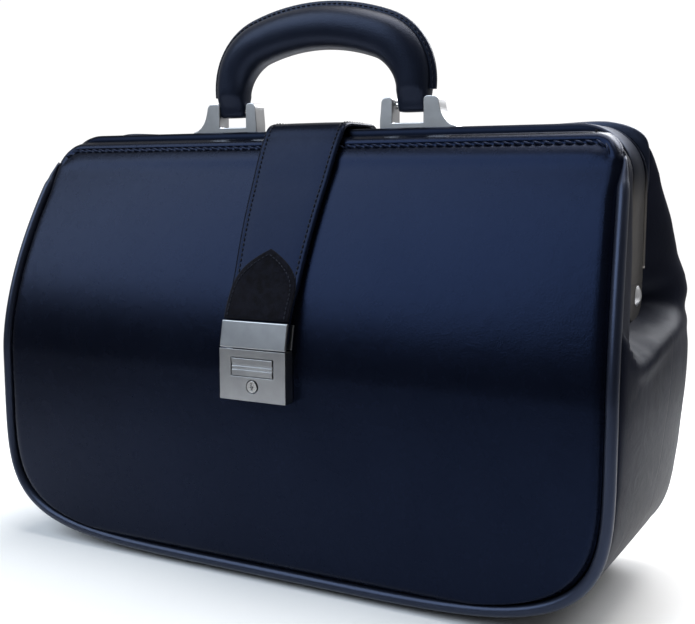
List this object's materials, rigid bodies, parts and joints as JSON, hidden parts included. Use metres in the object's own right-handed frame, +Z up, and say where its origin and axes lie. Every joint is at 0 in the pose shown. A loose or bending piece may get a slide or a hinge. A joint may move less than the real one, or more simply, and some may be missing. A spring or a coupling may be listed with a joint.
{
  "type": "doctor bag",
  "caption": "Frame-top doctor bag in leather: two hinged frame halves, a strap with a push-button lock, a swinging top handle and a flat base on studs.",
  "frame": {"origin": "on the floor under the centre of the bag, midway between its two ends", "axes": "+X along the bag's length to its right end seen from the front, -Y the front with the lock, +Z up"},
  "size_m": [0.3952, 0.1473, 0.3225],
  "materials": {
    "leather_navy": "smooth, very dark navy calf leather with a soft sheen",
    "leather_piping": "very dark navy leather wrapped over a piping cord",
    "leather_strap": "thick, very dark navy bridle leather with stitched edges",
    "leather_handle": "smooth very dark navy leather stretched over a padded core",
    "suede_black": "matte black suede",
    "frame_steel": "dark satin lacquered steel",
    "satin_nickel": "satin nickel plate",
    "polished_nickel": "bright nickel plate",
    "steel": "plain steel",
    "board": "dense fibre board"
  },
  "bodies": {
    "bag_body": {"base_leather": "leather_navy", "base_board": "board", "base_studs": "polished_nickel", "front_panel_lower": "leather_navy", "rear_panel_lower": "leather_navy", "front_welt_lower": "leather_piping", "rear_welt_lower": "leather_piping", "left_gusset_lower": "leather_navy", "right_gusset_lower": "leather_navy", "left_pleat": "leather_navy", "right_pleat": "leather_navy", "left_end_board": "board", "right_end_board": "board", "pivot_rivets": "polished_nickel", "lock_case": "satin_nickel", "lock_back_plate": "satin_nickel", "lock_rivets": "polished_nickel"},
    "front_half": {"front_frame": "frame_steel", "front_panel_upper": "leather_navy", "front_welt_upper_left": "leather_piping", "front_welt_upper_right": "leather_piping", "front_gusset_left": "leather_navy", "front_gusset_right": "leather_navy", "left_handle_bracket": "satin_nickel", "right_handle_bracket": "satin_nickel", "handle_pins": "polished_nickel"},
    "rear_half": {"rear_frame": "frame_steel", "rear_panel_upper": "leather_navy", "rear_welt_upper_left": "leather_piping", "rear_welt_upper_right": "leather_piping", "rear_gusset_left": "leather_navy", "rear_gusset_right": "leather_navy", "strap_tail": "leather_strap", "strap_rivets": "polished_nickel"},
    "strap_arm": {"strap": "leather_strap", "strap_tab": "suede_black", "hasp_front_plate": "satin_nickel", "hasp_back_plate": "satin_nickel", "hasp_rivets": "polished_nickel"},
    "handle": {"handle_grip": "leather_handle", "handle_core": "steel"},
    "button": {"lock_button": "satin_nickel"},
    "latch": {"latch_bolt": "steel"},
    "key": {"key_cylinder": "satin_nickel"}
  },
  "joints": [
    {"name": "front_frame_open", "type": "hinge", "parent": "bag_body", "child": "front_half", "pos_m": [0, 0, 0.1639], "axis": [1, 0, 0], "range_deg": [0, 45]},
    {"name": "rear_frame_open", "type": "hinge", "parent": "bag_body", "child": "rear_half", "pos_m": [0, 0, 0.1639], "axis": [-1, 0, 0], "range_deg": [0, 45]},
    {"name": "strap_lift", "type": "hinge", "parent": "rear_half", "child": "strap_arm", "pos_m": [0, 0.0175, 0.2525], "axis": [-1, 0, 0], "range_deg": [0, 16], "deforming": ["strap", "strap_tab"]},
    {"name": "handle_swing", "type": "hinge", "parent": "front_half", "child": "handle", "pos_m": [0, -0.0031, 0.2642], "axis": [1, 0, 0], "range_deg": [-85, 85]},
    {"name": "button_press", "type": "slide", "parent": "bag_body", "child": "button", "axis": [0, 1, 0], "range_m": [0, 0.0016], "stiffness_N_per_m": 300, "springref_m": -0.001},
    {"name": "latch_slide", "type": "slide", "parent": "bag_body", "child": "latch", "axis": [1, 0, 0], "range_m": [0, 0.002]},
    {"name": "key_turn", "type": "hinge", "parent": "bag_body", "child": "key", "pos_m": [0, -0.0776, 0.1126], "axis": [0, 1, 0], "range_deg": [0, 90]}
  ],
  "couplings": [
    {"joint": "rear_frame_open", "follows": "front_frame_open", "ratio": 1},
    {"joint": "strap_lift", "follows": "front_frame_open", "ratio": 0.35},
    {"joint": "latch_slide", "follows": "button_press", "ratio": 1.25}
  ]
}
